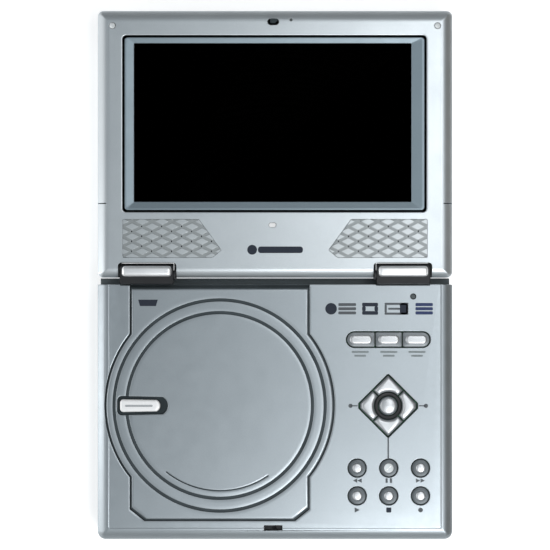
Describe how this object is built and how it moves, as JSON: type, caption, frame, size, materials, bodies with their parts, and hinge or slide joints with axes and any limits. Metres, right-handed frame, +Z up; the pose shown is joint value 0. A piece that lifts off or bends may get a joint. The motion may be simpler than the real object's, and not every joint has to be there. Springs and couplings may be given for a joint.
{
  "type": "portable dvd player",
  "caption": "Clamshell portable disc player opened flat: a base with disc door and keys, and a hinged lid with a 7 inch screen and two speakers.",
  "frame": {"origin": "on the table, under the lid hinge's axis, midway between the left and right sides", "axes": "+X right, +Y from the base to the lid, +Z up"},
  "size_m": [0.196, 0.292, 0.0303],
  "materials": {
    "silver_paint": "satin metallic silver paint",
    "silver_dark": "satin metallic grey paint",
    "key_silver": "bright silver, slightly glossy",
    "screen_black": "glossy black screen",
    "black_plastic": "fine matt grain",
    "white_plastic": "satin",
    "rubber": "matt",
    "steel": "brushed",
    "circuit_board": "solder mask",
    "battery_wrap": "shrink film over aluminium cells"
  },
  "bodies": {
    "base": {"base_bottom_case": "silver_dark", "base_top_case": "silver_paint", "foot_front_left": "rubber", "foot_front_right": "rubber", "foot_rear_left": "rubber", "foot_rear_right": "rubber", "disc_well_tray": "black_plastic", "mech_chassis": "steel", "spindle_motor": "steel", "guide_rod_left": "steel", "guide_rod_right": "steel", "sled_motor": "steel", "main_board": "circuit_board", "key_board": "circuit_board", "battery_pack": "battery_wrap", "dc_jack": "black_plastic", "av_jack": "black_plastic", "headphone_jack": "black_plastic", "status_led": "black_plastic", "hinge_barrel_left": "silver_paint", "hinge_barrel_right": "silver_paint"},
    "lid": {"lid_back_cover": "silver_paint", "lid_front_bezel": "silver_paint", "screen_frame": "silver_dark", "lcd_panel": "screen_black", "backlight_unit": "white_plastic", "lcd_driver_board": "circuit_board", "speaker_left": "black_plastic", "speaker_right": "black_plastic", "speaker_grille_left": "silver_paint", "speaker_grille_right": "silver_paint", "latch_hook": "black_plastic", "lid_led": "white_plastic", "bumper_left": "white_plastic", "bumper_right": "white_plastic", "hinge_arm_left": "steel", "hinge_arm_right": "steel"},
    "disc_door": {"disc_door": "silver_paint"},
    "door_release": {"door_release": "key_silver"},
    "latch_release": {"latch_release": "black_plastic"},
    "spindle_hub": {"spindle_hub": "black_plastic"},
    "laser_sled": {"laser_sled": "black_plastic"},
    "lead_screw": {"lead_screw": "steel"},
    "volume_wheel": {"volume_wheel": "black_plastic"},
    "power_switch": {"power_switch": "black_plastic"},
    "source_key": {"source_key": "key_silver"},
    "menu_key": {"menu_key": "key_silver"},
    "display_key": {"display_key": "key_silver"},
    "nav_right_key": {"nav_right_key": "key_silver"},
    "nav_up_key": {"nav_up_key": "key_silver"},
    "nav_left_key": {"nav_left_key": "key_silver"},
    "nav_down_key": {"nav_down_key": "key_silver"},
    "nav_enter_key": {"nav_enter_key": "key_silver"},
    "previous_key": {"previous_key": "key_silver"},
    "pause_key": {"pause_key": "key_silver"},
    "next_key": {"next_key": "key_silver"},
    "play_key": {"play_key": "key_silver"},
    "stop_key": {"stop_key": "key_silver"},
    "setup_key": {"setup_key": "key_silver"}
  },
  "joints": [
    {"name": "lid_hinge", "type": "hinge", "parent": "base", "child": "lid", "pos_m": [0, 0, 0.0248], "axis": [1, 0, 0], "range_deg": [0, 180]},
    {"name": "disc_door_hinge", "type": "hinge", "parent": "base", "child": "disc_door", "pos_m": [-0.0305, -0.0095, 0.0218], "axis": [1, 0, 0], "range_deg": [-60, 0]},
    {"name": "door_release_slide", "type": "slide", "parent": "disc_door", "child": "door_release", "axis": [1, 0, 0], "range_m": [0, 0.003], "stiffness_N_per_m": 400, "springref_m": -0.002},
    {"name": "latch_release_slide", "type": "slide", "parent": "base", "child": "latch_release", "axis": [1, 0, 0], "range_m": [0, 0.0025], "stiffness_N_per_m": 400, "springref_m": -0.002},
    {"name": "spindle_spin", "type": "hinge", "parent": "base", "child": "spindle_hub", "pos_m": [-0.0305, -0.0719, 0.0176], "axis": [0, 0, 1], "continuous": true},
    {"name": "sled_slide", "type": "slide", "parent": "base", "child": "laser_sled", "axis": [0, -1, 0], "range_m": [0, 0.032]},
    {"name": "lead_screw_turn", "type": "hinge", "parent": "base", "child": "lead_screw", "pos_m": [-0.0045, -0.11, 0.0092], "axis": [0, 1, 0], "range_deg": [0, 3845]},
    {"name": "volume_turn", "type": "hinge", "parent": "base", "child": "volume_wheel", "pos_m": [0.0897, -0.062, 0.0157], "axis": [0, 0, 1], "range_deg": [-135, 135]},
    {"name": "power_slide", "type": "slide", "parent": "base", "child": "power_switch", "axis": [0, 1, 0], "range_m": [0, 0.004]},
    {"name": "source_key_press", "type": "slide", "parent": "base", "child": "source_key", "axis": [0, 0, -1], "range_m": [0, 0.0006], "stiffness_N_per_m": 600, "springref_m": -0.0006},
    {"name": "menu_key_press", "type": "slide", "parent": "base", "child": "menu_key", "axis": [0, 0, -1], "range_m": [0, 0.0006], "stiffness_N_per_m": 600, "springref_m": -0.0006},
    {"name": "display_key_press", "type": "slide", "parent": "base", "child": "display_key", "axis": [0, 0, -1], "range_m": [0, 0.0006], "stiffness_N_per_m": 600, "springref_m": -0.0006},
    {"name": "nav_right_key_press", "type": "slide", "parent": "base", "child": "nav_right_key", "axis": [0, 0, -1], "range_m": [0, 0.0006], "stiffness_N_per_m": 600, "springref_m": -0.0006},
    {"name": "nav_up_key_press", "type": "slide", "parent": "base", "child": "nav_up_key", "axis": [0, 0, -1], "range_m": [0, 0.0006], "stiffness_N_per_m": 600, "springref_m": -0.0006},
    {"name": "nav_left_key_press", "type": "slide", "parent": "base", "child": "nav_left_key", "axis": [0, 0, -1], "range_m": [0, 0.0006], "stiffness_N_per_m": 600, "springref_m": -0.0006},
    {"name": "nav_down_key_press", "type": "slide", "parent": "base", "child": "nav_down_key", "axis": [0, 0, -1], "range_m": [0, 0.0006], "stiffness_N_per_m": 600, "springref_m": -0.0006},
    {"name": "nav_enter_key_press", "type": "slide", "parent": "base", "child": "nav_enter_key", "axis": [0, 0, -1], "range_m": [0, 0.0006], "stiffness_N_per_m": 600, "springref_m": -0.0006},
    {"name": "previous_key_press", "type": "slide", "parent": "base", "child": "previous_key", "axis": [0, 0, -1], "range_m": [0, 0.0006], "stiffness_N_per_m": 600, "springref_m": -0.0006},
    {"name": "pause_key_press", "type": "slide", "parent": "base", "child": "pause_key", "axis": [0, 0, -1], "range_m": [0, 0.0006], "stiffness_N_per_m": 600, "springref_m": -0.0006},
    {"name": "next_key_press", "type": "slide", "parent": "base", "child": "next_key", "axis": [0, 0, -1], "range_m": [0, 0.0006], "stiffness_N_per_m": 600, "springref_m": -0.0006},
    {"name": "play_key_press", "type": "slide", "parent": "base", "child": "play_key", "axis": [0, 0, -1], "range_m": [0, 0.0006], "stiffness_N_per_m": 600, "springref_m": -0.0006},
    {"name": "stop_key_press", "type": "slide", "parent": "base", "child": "stop_key", "axis": [0, 0, -1], "range_m": [0, 0.0006], "stiffness_N_per_m": 600, "springref_m": -0.0006},
    {"name": "setup_key_press", "type": "slide", "parent": "base", "child": "setup_key", "axis": [0, 0, -1], "range_m": [0, 0.0006], "stiffness_N_per_m": 600, "springref_m": -0.0006}
  ],
  "couplings": [
    {"joint": "lead_screw_turn", "follows": "sled_slide", "rad_per_m": 2094.4}
  ]
}
